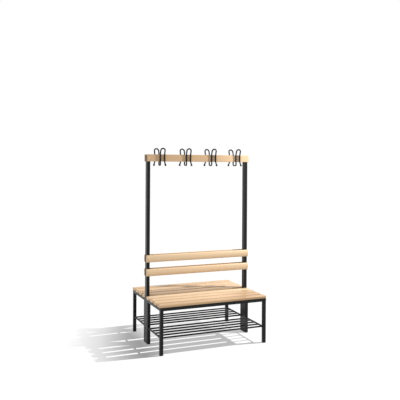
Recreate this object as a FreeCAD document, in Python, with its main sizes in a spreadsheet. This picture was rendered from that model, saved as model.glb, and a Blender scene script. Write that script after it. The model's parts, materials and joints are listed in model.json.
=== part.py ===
"""Double-sided changing room bench, millimetres, +Z up.

The origin is the middle of the footprint, on the floor.  X runs along the bench and Y across it,
from the front seat (negative Y) to the back seat (positive Y).  Two rectangular uprights carry the
hook rail and two backrest levels, each a pair of beech slats that sandwich the uprights.  On each
side a welded seat frame of square tube is bolted to the uprights and carries four beech slats and a
shoe rack of round rods.
"""
import FreeCAD, Part
import math
import os
import re

import Sketcher

VECTOR = FreeCAD.Vector
UP = VECTOR(0, 0, 1)
HALF_TURN = 180
QUARTER_TURN = 90
TINY = 0.0001

SIZES = (
    # Seat frames
    ("frame_length", 982, "outer length of the steel frame along X"),
    ("frame_depth", 780, "front face of the front legs to rear face of the back legs"),
    ("tube", 28, "side of the square seat frame tube"),
    ("wall", 2, "wall of every tube"),
    ("tube_corner", 2.5, "outer corner radius of every tube"),
    ("seat_base", 391, "top of the seat frame, where the slats lie"),
    # Uprights
    ("upright_depth", 50, "side of the upright tube along Y"),
    ("cap_drop", 5, "how far the upright's cap stays under the top of the hook rail"),
    # Glides and caps
    ("glide_height", 5, "visible part of a floor glide"),
    ("cap_height", 3, "visible part of an upright cap"),
    ("insert_depth", 16, "part of a glide or cap that sits in its tube"),
    ("insert_wall", 2.5, "wall of that part"),
    ("insert_fit", 0.3, "gap round that part, each side"),
    ("insert_edge", 1.5, "rounded outer edge of a glide or cap"),
    # Seat slats
    ("slat_overhang", 5, "how far every slat reaches past the frame at each end"),
    ("seat_slats", 4, "slats on each seat"),
    ("slat_gap", 27.7, "gap between two seat slats"),
    ("slat_thick", 22, "thickness of a seat slat"),
    ("slat_margin", 1, "seat slats to the outer edge of their frame"),
    ("slat_round", 8, "rounded upper edges of a seat slat"),
    ("end_round", 10, "rounded upright corners of a seat slat"),
    # Backrest and hook rail slats
    ("back_height", 62, "height of a backrest or hook rail slat"),
    ("back_thick", 20, "thickness of a backrest or hook rail slat"),
    ("back_crown", 6.5, "how far the outer face of a backrest slat falls towards its long edges"),
    ("back_round", 8, "rounded edges of a backrest slat"),
    ("rail_round", 3, "rounded edges of a hook rail slat"),
    ("back_base", 586, "underside of the lower backrest"),
    ("back_gap", 59, "gap between the two backrest levels"),
    ("rail_top", 1650, "top of the hook rail"),
    # Hooks
    ("hooks", 4, "hooks on the rail"),
    ("hook_end", 122, "middle of the outer hook to the end of the frame"),
    ("wire", 12, "diameter of the hook wire"),
    ("hook_fit", 0.2, "gap between hook wire and slat"),
    ("arch_width", 40, "distance between the two legs of an arch, at the wire's middle"),
    ("hook_shift", 8.5, "middle of an arch to the middle of its hook, along X"),
    ("arch_rise", 52, "middle of the arch's wire above the rail"),
    ("arch_lean", 16, "how far the arch leans out from its legs"),
    ("neck_rise", 3, "where the legs start to lean, above the rail"),
    ("flare_drop", 2, "where the legs start to flare, below the rail"),
    ("bow_drop", 18, "widest place of the bow, below the rail"),
    ("bow_bulge", 11, "how far the bow bulges out there"),
    ("bow_floor", 33, "lowest run of the bow's wire, below the rail"),
    ("bow_inset", 10, "end of that run, inside the legs"),
    ("tip_drop", 31, "middle of the ball tip, below the rail"),
    ("tip_reach", 22, "middle of the ball tip, out from its leg"),
    ("tip_ball", 18, "diameter of the ball tip"),
    ("tip_fit", 0.1, "gap between the wire and the ball tip's hole"),
    ("neck_bend", 40, "bend radius where the legs lean"),
    ("flare_bend", 18, "bend radius where the legs flare"),
    ("bow_bend", 12, "bend radius at the widest place of the bow"),
    ("floor_bend", 24, "bend radius at the foot of the bow"),
    ("stud", 6, "diameter of the stud welded to each leg"),
    ("stud_tail", 2, "stud showing past its nut"),
    ("nut_width", 10, "width across flats of a stud's nut"),
    ("nut_height", 5, "height of that nut"),
    # Shoe racks
    ("rack_height", 137, "middle of the rack's rods above the floor"),
    ("rod", 14, "diameter of the rack's rods"),
    ("rack_rods", 5, "long rods in a rack"),
    ("rack_margin", 8, "middle of the outer long rod to the face of the leg beside it"),
    ("rod_plug", 3, "how far the end rods reach past the leg's wall"),
    ("rod_fit", 0.3, "gap round an end rod in its hole"),
    # Bolts through the columns
    ("column_bolt", 8, "diameter of a bolt through the column"),
    ("bolt_low", 74, "height of the lower bolts"),
    ("bolt_high", 310, "height of the upper bolts"),
    ("bolt_head", 15, "diameter of a bolt's mushroom head or cap nut"),
    ("bolt_head_height", 5, "height of that head"),
    ("cap_nut_height", 10, "height of the cap nut"),
    ("bolt_fit", 0.3, "gap round every bolt, sleeve and stud"),
    ("overrun", 1, "how far a cut runs past the face that it opens"),
    # Connectors through the backrests and the rail
    ("connector", 6, "diameter of a connector bolt"),
    ("sleeve", 8, "outer diameter of its sleeve nut"),
    ("sleeve_length", 30, "length of the sleeve nut's barrel"),
    ("thread_grip", 18, "depth of the bolt in the sleeve nut"),
    ("connector_head", 13, "diameter of both heads"),
    ("connector_head_height", 2, "thickness of both heads"),
    ("plug", 14, "diameter of the beech plug over a head"),
    ("plug_height", 6, "thickness of the plug"),
    ("plug_fit", 0.1, "gap round the plug"),
    # Seat slat screws
    ("screw", 5, "diameter of a seat slat's screw"),
    ("screw_bite", 16, "depth of the screw in its slat"),
    ("screw_head", 10, "diameter of the screw's head"),
    ("screw_head_height", 3, "height of the screw's head"),
    ("pilot_fit", 0.1, "gap round the screw in its slat"),
)

doc = FreeCAD.newDocument("changing_room_bench")
sheet = doc.addObject("Spreadsheet::Sheet", "sizes")
for row, (alias, size, meaning) in enumerate(SIZES, start=1):
    sheet.set("A%d" % row, alias)
    sheet.set("B%d" % row, str(size))
    sheet.setAlias("B%d" % row, alias)
    sheet.set("C%d" % row, meaning)
doc.recompute()

names = [alias for alias, size, meaning in SIZES]
sub_parts = []


def bound(text):
    """An expression on the sheet, from plain size names."""
    def full_name(word):
        return "sizes." + word.group() if word.group() in names else word.group()

    return re.sub(r"[a-z_]+", full_name, text)


def value(text):
    """The number that an expression of sizes comes to."""
    return float(sheet.evalExpression(bound(text)))


def bind(thing, prop, text):
    """Tie one property to an expression of sizes."""
    thing.setExpression(prop, bound(text))


# Sums of sizes that several pieces share
POST_X = "(frame_length - tube) / 2"
OUTER_LEG_Y = "(frame_depth - tube) / 2"
INNER_LEG_Y = "(upright_depth + tube) / 2"
SEAT_Y = "(frame_depth + upright_depth) / 4"
SEAT_DEPTH = "(frame_depth - upright_depth) / 2"
LEG_TOP = "(seat_base - tube)"
UPRIGHT_TOP = "(rail_top - cap_drop - cap_height)"
SLAT_LENGTH = "(frame_length + 2 * slat_overhang)"
SLAT_ROOM = "(%s - 2 * slat_margin + slat_gap)" % SEAT_DEPTH
SLAT_STEP = "(%s / seat_slats)" % SLAT_ROOM
SLAT_WIDTH = "(%s - slat_gap)" % SLAT_STEP
BACK_STEP = "(back_height + back_gap)"
LEG_REACH = "((upright_depth + wire) / 2 + back_thick + hook_fit)"
HOOK_SPAN = "(frame_length - 2 * hook_end)"


# Helpers for bodies and sketches

def origin_feature(body, role):
    """A plane or axis of the body's own origin."""
    return [feature for feature in body.Origin.OriginFeatures if feature.Role == role][0]


def new_body(label, many=False):
    """A body that becomes one node."""
    body = doc.addObject("PartDesign::Body", label)
    body.Label = label
    body.AllowCompound = many
    sub_parts.append(body)
    return body


def place(body, x="0", y="0", z="0", turn=0):
    """Put a body in the bench: a turn about Z, then three distances tied to the sheet."""
    body.Placement = FreeCAD.Placement(VECTOR(0, 0, 0), FreeCAD.Rotation(UP, turn))
    bind(body, "Placement.Base.x", x)
    bind(body, "Placement.Base.y", y)
    bind(body, "Placement.Base.z", z)


def sketch_on(body, role, offset="0", across="0"):
    """A sketch on one of the body's origin planes, moved along its normal and across."""
    sketch = body.newObject("Sketcher::SketchObject", body.Label + "_sketch")
    sketch.AttachmentSupport = (origin_feature(body, role), [""])
    sketch.MapMode = "FlatFace"
    bind(sketch, "AttachmentOffset.Base.z", offset)
    if across != "0":
        bind(sketch, "AttachmentOffset.Base.x", across)
    return sketch


def measure(sketch, kind, refs, text, start=1.0):
    """A dimension in a sketch, tied to the sheet."""
    index = sketch.addConstraint(Sketcher.Constraint(kind, *refs, start))
    bind(sketch, "Constraints[%d]" % index, text)


def closed_loop(sketch, points):
    """Straight lines through the points, joined end to end; returns the first line's index."""
    first = sketch.GeometryCount
    count = len(points)
    for index in range(count):
        start, end = points[index], points[(index + 1) % count]
        sketch.addGeometry(Part.LineSegment(VECTOR(*start, 0), VECTOR(*end, 0)), False)
    for index in range(count):
        follower = first + (index + 1) % count
        sketch.addConstraint(Sketcher.Constraint("Coincident", first + index, 2, follower, 1))
    return first


def rectangle(sketch, width, height):
    """A rectangle about the sketch's origin."""
    first = closed_loop(sketch, ((-1, -1), (1, -1), (1, 1), (-1, 1)))
    for line, kind in enumerate(("Horizontal", "Vertical", "Horizontal", "Vertical")):
        sketch.addConstraint(Sketcher.Constraint(kind, first + line))
    sketch.addConstraint(Sketcher.Constraint("Symmetric", first, 1, first + 1, 2, -1, 1))
    measure(sketch, "DistanceX", (first, 1, first, 2), width)
    measure(sketch, "DistanceY", (first + 1, 1, first + 1, 2), height)


def trapezium(sketch, long_side, height):
    """A trapezium about the origin with ends at 45 degrees, its long side below."""
    first = closed_loop(sketch, ((-2, -1), (2, -1), (1, 1), (-1, 1)))
    for line in (first, first + 2):
        sketch.addConstraint(Sketcher.Constraint("Symmetric", line, 1, line, 2, -2))
    measure(sketch, "DistanceX", (first, 1, first, 2), long_side)
    measure(sketch, "DistanceX", (first + 2, 2, first + 2, 1), "%s - 2 * %s" % (long_side, height))
    measure(sketch, "DistanceY", (-1, 1, first + 2, 1), "%s / 2" % height)
    measure(sketch, "DistanceY", (first, 1, -1, 1), "%s / 2" % height)


def crowned(sketch, width, thickness, crown):
    """A slat's section: a flat back on the sketch's origin and an arc, to its left, for its face."""
    side = "(%s - %s)" % (thickness, crown)
    radius = "((%s / 2) ^ 2 + %s ^ 2) / (2 * %s)" % (width, crown, crown)
    half, height, reach = value(width) / 2, value(side), value(radius)
    middle = VECTOR(reach - value(thickness), 0, 0)
    corners = [VECTOR(*place, 0) for place in ((0, -half), (0, half), (-height, half), (-height, -half))]
    start, end = [math.atan2(*reversed(tuple(corner - middle)[:2])) for corner in corners[2:]]
    arc = Part.ArcOfCircle(Part.Circle(middle, UP, reach), start, end if end > start else end + math.tau)
    lines = [Part.LineSegment(corners[i], corners[(i + 1) % 4]) for i in (0, 1, 3)]
    for piece in (lines[0], lines[1], arc, lines[2]):
        sketch.addGeometry(piece, False)
    for index in range(4):
        sketch.addConstraint(Sketcher.Constraint("Coincident", index, 2, (index + 1) % 4, 1))
    for kind, line in (("Vertical", 0), ("Horizontal", 1), ("Horizontal", 3)):
        sketch.addConstraint(Sketcher.Constraint(kind, line))
    sketch.addConstraint(Sketcher.Constraint("Symmetric", 0, 1, 0, 2, -1, 1))
    sketch.addConstraint(Sketcher.Constraint("Equal", 1, 3))
    measure(sketch, "Distance", (0,), width, 2 * half)
    measure(sketch, "Distance", (1,), side, height)
    measure(sketch, "Radius", (2,), radius, reach)


def circle(sketch, diameter, across="0", up="0"):
    """A circle at a place to the right of, or above, the sketch's origin."""
    index = sketch.addGeometry(Part.Circle(VECTOR(1, 1, 0), UP, 1), False)
    measure(sketch, "Diameter", (index,), diameter)
    for kind, text, on_axis in (("DistanceX", across, -2), ("DistanceY", up, -1)):
        if text == "0":
            sketch.addConstraint(Sketcher.Constraint("PointOnObject", index, 3, on_axis))
        else:
            measure(sketch, kind, (-1, 1, index, 3), text)
    return index


def circle_pair(sketch, diameter, across, up="0"):
    """Two equal circles, one to the right and one to the left of the sketch's origin."""
    right = circle(sketch, diameter, across, up)
    left = sketch.addGeometry(Part.Circle(VECTOR(-1, 1, 0), UP, 1), False)
    sketch.addConstraint(Sketcher.Constraint("Equal", right, left))
    sketch.addConstraint(Sketcher.Constraint("Symmetric", right, 3, left, 3, -2))


def turned(body, role, steps, start="0", level="0"):
    """A turned piece about the sketch's upright axis; steps are (radius, height) from its start.

    On XZ_Plane the axis is Z, on XY_Plane it is Y; level moves the sketch along its normal.
    """
    sketch = sketch_on(body, role, level)
    count = len(steps)
    points = [(0, 0)]
    for step in range(count):
        points += [(count - step + 1, step), (count - step + 1, step + 1)]
    points.append((0, count))
    first = closed_loop(sketch, points)
    for line in range(len(points)):
        kind = "Vertical" if line % 2 else "Horizontal"
        sketch.addConstraint(Sketcher.Constraint(kind, first + line))
    sketch.addConstraint(Sketcher.Constraint("PointOnObject", first, 1, -2))
    if start == "0":
        sketch.addConstraint(Sketcher.Constraint("PointOnObject", first, 1, -1))
    else:
        measure(sketch, "DistanceY", (-1, 1, first, 1), start)
    for step, (radius, height) in enumerate(steps):
        side = first + 1 + 2 * step
        measure(sketch, "DistanceX", (-1, 1, side, 1), radius)
        measure(sketch, "DistanceY", (side, 1, side, 2), height)
    revolution = body.newObject("PartDesign::Revolution", body.Label + "_turning")
    revolution.Profile = sketch
    revolution.ReferenceAxis = (sketch, ["V_Axis"])
    doc.recompute()
    return revolution


def hexagon(sketch, width):
    """A hexagon about the sketch's origin by its width across flats, two of its sides level."""
    guide = sketch.addGeometry(Part.Circle(VECTOR(1, 1, 0), UP, 1), True)
    sketch.addConstraint(Sketcher.Constraint("Coincident", guide, 3, -1, 1))
    angles = [math.radians(60 * corner - 120) for corner in range(6)]
    first = closed_loop(sketch, [(1 + math.cos(angle), 1 + math.sin(angle)) for angle in angles])
    sketch.addConstraint(Sketcher.Constraint("Horizontal", first))
    for corner in range(3):
        line = first + corner
        sketch.addConstraint(Sketcher.Constraint("Symmetric", line, 1, line + 3, 1, guide, 3))
        sketch.addConstraint(Sketcher.Constraint("PointOnObject", line, 1, guide))
    sketch.addConstraint(Sketcher.Constraint("Equal", first, first + 1))
    sketch.addConstraint(Sketcher.Constraint("Equal", first, first + 2))
    measure(sketch, "DistanceY", (first, 1, first + 3, 1), width)


def pad(body, sketch, length, symmetric=False, reverse=False):
    """Pad a sketch."""
    feature = body.newObject("PartDesign::Pad", body.Label + "_pad")
    feature.Profile = sketch
    feature.SideType = "Symmetric" if symmetric else "One side"
    feature.Reversed = reverse
    bind(feature, "Length", length)
    doc.recompute()
    return feature


def pocket(body, sketch, length=None, symmetric=False, reverse=False):
    """Cut a sketch into the body, and make sure that it takes something away."""
    before = body.Shape.Volume
    feature = body.newObject("PartDesign::Pocket", body.Label + "_pocket")
    feature.Profile = sketch
    feature.SideType = "Symmetric" if symmetric else "One side"
    feature.Reversed = reverse
    if length is None:
        feature.Type = "ThroughAll"
    else:
        bind(feature, "Length", length)
    doc.recompute()
    assert body.Shape.Volume < before, body.Label + ": a pocket cuts nothing"
    return feature


def fillet(body, feature, chosen, radius):
    """Round the edges of a feature for which chosen(edge) is true."""
    edges = ["Edge%d" % (number + 1) for number, edge in enumerate(feature.Shape.Edges) if chosen(edge)]
    rounding = body.newObject("PartDesign::Fillet", body.Label + "_round")
    rounding.Base = (feature, edges)
    bind(rounding, "Radius", radius)
    doc.recompute()
    return rounding


def along(edge, axis):
    """Whether a straight edge runs along an axis: 0, 1 or 2."""
    if edge.Curve.TypeId != "Part::GeomLine":
        return False
    return abs(abs(edge.tangentAt(edge.FirstParameter)[axis]) - 1) < TINY


def at_limit(shape, edge, axis, side):
    """Whether an edge lies on the low (-1) or high (1) side of the shape's box along an axis."""
    box = shape.BoundBox
    low, high = ((box.XMin, box.XMax), (box.YMin, box.YMax), (box.ZMin, box.ZMax))[axis]
    return abs(edge.CenterOfMass[axis] - (high if side > 0 else low)) < TINY


def pattern(body, originals, moves):
    """Repeat features, or the whole body, along lines: (axis role, length, count, reversed)."""
    multi = body.newObject("PartDesign::MultiTransform", body.Label + "_pattern")
    steps = []
    for role, length, count, backwards in moves:
        step = doc.addObject("PartDesign::LinearPattern", body.Label + "_step")
        body.addObject(step)
        step.Direction = (origin_feature(body, role), [""])
        step.Reversed = backwards
        bind(step, "Length", length)
        bind(step, "Occurrences", count)
        steps.append(step)
    if originals:
        multi.Originals = originals
    else:
        multi.TransformMode = "Whole shape"
    multi.Transformations = steps
    body.Tip = multi
    doc.recompute()
    return multi


# Steel tubes

def hollow_section(body, depth):
    """A sketch of a tube's wall, seen along the tube, with its inner and outer outline."""
    sketch = sketch_on(body, "XY_Plane")
    rectangle(sketch, "tube", depth)
    rectangle(sketch, "tube - 2 * wall", "%s - 2 * wall" % depth)
    return sketch


def upright_tube(label, depth, length):
    """A hollow tube that stands on the floor glide, its outer corners rounded."""
    body = new_body(label)
    blank = pad(body, hollow_section(body, depth), length)

    def outer_corner(edge):
        sides = [at_limit(blank.Shape, edge, axis, side) for axis in (0, 1) for side in (-1, 1)]
        return along(edge, 2) and sum(sides) == 2

    fillet(body, blank, outer_corner, "tube_corner")
    return body


def through_holes(body, diameter, heights):
    """Holes along Y through both walls of an upright tube, at heights above the floor."""
    sketch = sketch_on(body, "XZ_Plane")
    for height in heights:
        circle(sketch, "%s + 2 * bolt_fit" % diameter, up="%s - glide_height" % height)
    pocket(body, sketch, symmetric=True)


def leg(label, x, y, turn, bolted):
    """A seat frame's leg; its rack hole opens towards local +Y."""
    body = upright_tube(label, "tube", "%s - glide_height" % LEG_TOP)
    rack_hole = sketch_on(body, "XZ_Plane")
    circle(rack_hole, "rod + 2 * rod_fit", up="rack_height - glide_height")
    pocket(body, rack_hole, "tube / 2 + overrun")
    if bolted:
        through_holes(body, "column_bolt", ("bolt_low", "bolt_high"))
    place(body, x, y, "glide_height", turn)


def upright(label, x):
    """An upright, from its glide to its cap, drilled for the seat frames, backrests and rail."""
    body = upright_tube(label, "upright_depth", "%s - glide_height" % UPRIGHT_TOP)
    through_holes(body, "column_bolt", ("bolt_low", "bolt_high"))
    through_holes(body, "sleeve", CONNECTOR_HEIGHTS)
    place(body, x, z="glide_height")


def mitred_tube(label, long_side):
    """A tube along X with ends mitred at 45 degrees, its long side towards -Y, about its middle."""
    body = new_body(label)
    plan = sketch_on(body, "XY_Plane")
    trapezium(plan, long_side, "tube")
    blank = pad(body, plan, "tube", symmetric=True)

    def outer_corner(edge):
        sides = [at_limit(blank.Shape, edge, axis, side) for axis in (1, 2) for side in (-1, 1)]
        return along(edge, 0) and sum(sides) == 2

    fillet(body, blank, outer_corner, "tube_corner")
    bore = sketch_on(body, "YZ_Plane")
    rectangle(bore, "tube - 2 * wall", "tube - 2 * wall")
    pocket(body, bore, symmetric=True)
    return body


def seat_rail(label, y, turn):
    """A long tube of a seat frame."""
    place(mitred_tube(label, "frame_length"), y=y, z="seat_base - tube / 2", turn=turn)


def end_tube(label, x, y, turn):
    """A short tube across the end of a seat frame, drilled for one screw in each slat."""
    body = mitred_tube(label, SEAT_DEPTH)
    hole = sketch_on(body, "XY_Plane")
    circle(hole, "screw + 2 * bolt_fit", across="%s * (seat_slats - 1) / 2" % SLAT_STEP)
    drilled = pocket(body, hole, symmetric=True)
    pattern(body, [drilled], (("X_Axis", "%s * (seat_slats - 1)" % SLAT_STEP, "seat_slats", True),))
    place(body, x, y, "seat_base - tube / 2", turn)


def insert(label, x, y, depth, flange, z, upside_down=False):
    """A plastic glide or cap: a flange as wide as the tube, with a hollow plug that goes into it."""
    body = new_body(label)
    foot = sketch_on(body, "XY_Plane")
    rectangle(foot, "tube", depth)
    blank = pad(body, foot, flange)
    corners = fillet(body, blank, lambda edge: along(edge, 2), "tube_corner")
    rim = fillet(body, corners, lambda edge: at_limit(blank.Shape, edge, 2, -1), "insert_edge")
    assert rim.Shape.Volume < corners.Shape.Volume
    core = sketch_on(body, "XY_Plane", flange)
    rectangle(core, "tube - 2 * (wall + insert_fit)", "%s - 2 * (wall + insert_fit)" % depth)
    pad(body, core, "insert_depth")
    hollow = sketch_on(body, "XY_Plane", "%s + insert_depth" % flange)
    inner = "2 * (wall + insert_fit + insert_wall)"
    rectangle(hollow, "tube - %s" % inner, "%s - %s" % (depth, inner))
    pocket(body, hollow, "insert_depth")
    place(body, x, y, z)
    if upside_down:
        body.Placement.Rotation = FreeCAD.Rotation(VECTOR(1, 0, 0), HALF_TURN)


CONNECTOR_HEIGHTS = (
    "(back_base + back_height / 2)",
    "(back_base + %s + back_height / 2)" % BACK_STEP,
    "(rail_top - back_height / 2)",
)

for end, side in (("left", "-"), ("right", "")):
    post_x = side + POST_X
    upright("upright_" + end, post_x)
    insert("upright_glide_" + end, post_x, "0", "upright_depth", "glide_height", "0")
    insert("upright_cap_" + end, post_x, "0", "upright_depth", "cap_height", "rail_top - cap_drop", True)
    for seat, across, outer_turn in (("front", "-", 0), ("back", "", HALF_TURN)):
        inner_turn = HALF_TURN - outer_turn
        name = "%s_%s" % (seat, end)
        leg("outer_leg_" + name, post_x, across + OUTER_LEG_Y, outer_turn, False)
        leg("inner_leg_" + name, post_x, across + INNER_LEG_Y, inner_turn, True)
        insert("outer_glide_" + name, post_x, across + OUTER_LEG_Y, "tube", "glide_height", "0")
        insert("inner_glide_" + name, post_x, across + INNER_LEG_Y, "tube", "glide_height", "0")
        end_turn = -QUARTER_TURN if end == "left" else QUARTER_TURN
        end_tube("end_tube_" + name, post_x, across + SEAT_Y, end_turn)

for seat, across, outer_turn in (("front", "-", 0), ("back", "", HALF_TURN)):
    seat_rail("outer_rail_" + seat, across + OUTER_LEG_Y, outer_turn)
    seat_rail("inner_rail_" + seat, across + INNER_LEG_Y, HALF_TURN - outer_turn)


# Beech slats

def seat_slat(label, y):
    """A seat slat with rounded upper edges and a pilot hole under each end."""
    body = new_body(label)
    outline = sketch_on(body, "XY_Plane")
    rectangle(outline, SLAT_LENGTH, SLAT_WIDTH)
    blank = pad(body, outline, "slat_thick")
    corners = fillet(body, blank, lambda edge: along(edge, 2), "end_round")
    fillet(body, corners, lambda edge: at_limit(blank.Shape, edge, 2, 1), "slat_round")
    pilots = sketch_on(body, "XY_Plane")
    circle_pair(pilots, "screw + 2 * pilot_fit", POST_X)
    pocket(body, pilots, "screw_bite + overrun", reverse=True)
    place(body, y=y, z="seat_base")


def back_slat(label, y, z, turn, flat=False):
    """A slat on the upright's face, outer face towards local -Y, sunk for a connector at each end."""
    body = new_body(label)
    if flat:
        face = sketch_on(body, "XZ_Plane")
        rectangle(face, SLAT_LENGTH, "back_height")
        blank = pad(body, face, "back_thick")
        fillet(body, blank, lambda edge: at_limit(blank.Shape, edge, 1, -1), "rail_round")
    else:
        section = sketch_on(body, "YZ_Plane")
        crowned(section, "back_height", "back_thick", "back_crown")
        blank = pad(body, section, SLAT_LENGTH, symmetric=True)
        rim = -value("back_thick - back_crown") + TINY
        fillet(body, blank, lambda edge: edge.CenterOfMass.y < rim, "back_round")
    bores = sketch_on(body, "XZ_Plane")
    circle_pair(bores, "sleeve + 2 * bolt_fit", POST_X)
    pocket(body, bores, symmetric=True)
    sinks = sketch_on(body, "XZ_Plane", "back_thick")
    circle_pair(sinks, "plug + 2 * plug_fit", POST_X)
    pocket(body, sinks, "plug_height + connector_head_height")
    place(body, y=y, z=z, turn=turn)
    return body


def rail_slat(label, y, turn):
    """A slat of the hook rail, drilled for the studs of its side's hook legs."""
    body = back_slat(label, y, "rail_top - back_height / 2", turn, flat=True)
    studs = sketch_on(body, "XZ_Plane")
    for side in ("-", "+"):
        across = "%s / 2 + hook_shift %s arch_width / 2" % (HOOK_SPAN, side)
        circle(studs, "stud + 2 * bolt_fit", across=across)
    drilled = pocket(body, studs, symmetric=True)
    pattern(body, [drilled], (("X_Axis", HOOK_SPAN, "hooks", True),))


for seat, across in (("front", "-"), ("back", "")):
    for slat in range(int(value("seat_slats"))):
        from_middle = "(%s + %s * (%d - (seat_slats - 1) / 2))" % (SEAT_Y, SLAT_STEP, slat)
        seat_slat("%s_seat_slat_%d" % (seat, slat + 1), across + from_middle)
    turn = 0 if seat == "front" else HALF_TURN
    face_y = across + "upright_depth / 2"
    back_slat("lower_backrest_" + seat, face_y, CONNECTOR_HEIGHTS[0], turn)
    back_slat("upper_backrest_" + seat, face_y, CONNECTOR_HEIGHTS[1], turn)
    rail_slat("hook_rail_" + seat, face_y, turn)


# Shoe racks

def shoe_rack(label, y):
    """Long round rods welded between two end rods that plug into the legs."""
    body = new_body(label, many=True)
    clear_depth = "(%s - 2 * tube)" % SEAT_DEPTH
    span = "(%s - 2 * rack_margin)" % clear_depth
    section = sketch_on(body, "YZ_Plane")
    circle(section, "rod", across="%s / 2" % span)
    rod = pad(body, section, "2 * " + POST_X, symmetric=True)
    pattern(body, [rod], (("Y_Axis", span, "rack_rods", True),))
    end_section = sketch_on(body, "XZ_Plane")
    circle(end_section, "rod", across=POST_X)
    end_rod = pad(body, end_section, "%s + 2 * (wall + rod_plug)" % clear_depth, symmetric=True)
    pattern(body, [end_rod], (("X_Axis", "2 * " + POST_X, "2", True),))
    assert len(body.Shape.Solids) == 1, label + ": a rod is loose"
    place(body, y=y, z="rack_height")


shoe_rack("shoe_rack_front", "-" + SEAT_Y)
shoe_rack("shoe_rack_back", SEAT_Y)


# Bolts, connectors, plugs and screws

def rounded_end(body, feature, axis, side, radius):
    """Round the circular edge at one end of a turned piece."""
    def end_circle(edge):
        return at_limit(feature.Shape, edge, axis, side) and edge.Closed

    return fillet(body, feature, end_circle, radius)


COLUMN_DEPTH = "(upright_depth + 2 * tube)"
POST_PAIR = ("X_Axis", "2 * " + POST_X, "2", False)
COLUMN_GRID = (("Z_Axis", "bolt_high - bolt_low", "2", False), POST_PAIR)

bolts = new_body("column_bolts", many=True)
shank = "%s + cap_nut_height / 2" % COLUMN_DEPTH
bolt = turned(bolts, "XY_Plane", (("bolt_head / 2", "bolt_head_height"), ("column_bolt / 2", shank)))
rounded_end(bolts, bolt, 1, -1, "bolt_head_height / 2")
pattern(bolts, None, COLUMN_GRID)
place(bolts, "-" + POST_X, "-(%s / 2 + bolt_head_height)" % COLUMN_DEPTH, "bolt_low")

nuts = new_body("column_cap_nuts", many=True)
nut = turned(nuts, "XY_Plane", (("bolt_head / 2", "cap_nut_height"),))
rounded_end(nuts, nut, 1, 1, "cap_nut_height / 2")
thread = sketch_on(nuts, "XZ_Plane")
circle(thread, "column_bolt + 2 * bolt_fit")
pocket(nuts, thread, "cap_nut_height / 2 + overrun")
pattern(nuts, None, COLUMN_GRID)
place(nuts, "-" + POST_X, COLUMN_DEPTH + " / 2", "bolt_low")

# Connector bolts come from the front, sleeve nuts from the back, their heads sunk under the plugs
SLAT_FACE = "(upright_depth / 2 + back_thick)"
HEAD_SEAT = "(%s - plug_height - connector_head_height)" % SLAT_FACE
SLEEVE_START = "(%s - sleeve_length)" % HEAD_SEAT

connectors = new_body("connector_bolts", many=True)
sleeves = new_body("connector_sleeves", many=True)
plugs = new_body("slat_plugs", many=True)
for height in CONNECTOR_HEIGHTS:
    turned(connectors, "XY_Plane", (
        ("connector_head / 2", "connector_head_height"),
        ("connector / 2", "%s + %s + thread_grip" % (HEAD_SEAT, SLEEVE_START)),
    ), "-(%s + connector_head_height)" % HEAD_SEAT, height)
    turned(sleeves, "XY_Plane", (
        ("sleeve / 2", "sleeve_length"),
        ("connector_head / 2", "connector_head_height"),
    ), SLEEVE_START, height)
threads = sketch_on(sleeves, "XZ_Plane", "-" + SLEEVE_START)
plug_faces = sketch_on(plugs, "XZ_Plane", "%s - plug_height" % SLAT_FACE)
for height in CONNECTOR_HEIGHTS:
    circle(threads, "connector + 2 * bolt_fit", up=height)
    circle(plug_faces, "plug", up=height)
pocket(sleeves, threads, "thread_grip + overrun")
pad(plugs, plug_faces, "plug_height")
pattern(connectors, None, (POST_PAIR,))
pattern(sleeves, None, (POST_PAIR,))
pattern(plugs, None, (POST_PAIR, ("Y_Axis", "2 * %s - plug_height" % SLAT_FACE, "2", False)))
for body in (connectors, sleeves, plugs):
    place(body, "-" + POST_X)

screws = new_body("seat_slat_screws", many=True)
turned(screws, "XZ_Plane", (
    ("screw_head / 2", "screw_head_height"),
    ("screw / 2", "tube + screw_bite"),
))
FIRST_SLAT_Y = "(%s + %s * (seat_slats - 1) / 2)" % (SEAT_Y, SLAT_STEP)
pattern(screws, None, (
    POST_PAIR,
    ("Y_Axis", "%s * (seat_slats - 1)" % SLAT_STEP, "seat_slats", False),
    ("Y_Axis", "2 * " + SEAT_Y, "2", False),
))
place(screws, "-" + POST_X, "-" + FIRST_SLAT_Y, "seat_base - tube - screw_head_height")


# Hooks: each is one bent wire, a front half and the same half turned about the hook's middle

LEG_SIDES = ("+", "-")

stud_nuts = new_body("hook_nuts", many=True)
for level, towards in (("upright_depth / 2 - nut_height", ""), ("-upright_depth / 2", "-")):
    for leg_side in LEG_SIDES:
        across = "%s(hook_shift %s arch_width / 2) - %s / 2" % (towards, leg_side, HOOK_SPAN)
        section = sketch_on(stud_nuts, "XZ_Plane", level, across)
        hexagon(section, "nut_width")
        circle(section, "stud + 2 * bolt_fit")
        pad(stud_nuts, section, "nut_height")
pattern(stud_nuts, None, (("X_Axis", HOOK_SPAN, "hooks", False),))
place(stud_nuts, z="rail_top - back_height / 2")


def rounded_path(corners):
    """Lines and arcs through corners, each a point and its bend radius."""
    edges = []
    start = corners[0][0]
    for index in range(1, len(corners) - 1):
        corner, radius = corners[index]
        into = (corner - corners[index - 1][0]).normalize()
        out = (corners[index + 1][0] - corner).normalize()
        half_turn = into.getAngle(out) / 2
        bend_start = corner - into * radius * math.tan(half_turn)
        bend_end = corner + out * radius * math.tan(half_turn)
        inward = (out - into).normalize()
        bend_middle = corner + inward * radius * (1 / math.cos(half_turn) - 1)
        if bend_start.distanceToPoint(start) > TINY:
            edges.append(Part.makeLine(start, bend_start))
        edges.append(Part.Arc(bend_start, bend_middle, bend_end).toShape())
        start = bend_end
    edges.append(Part.makeLine(start, corners[-1][0]))
    return Part.Wire(edges)


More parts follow.
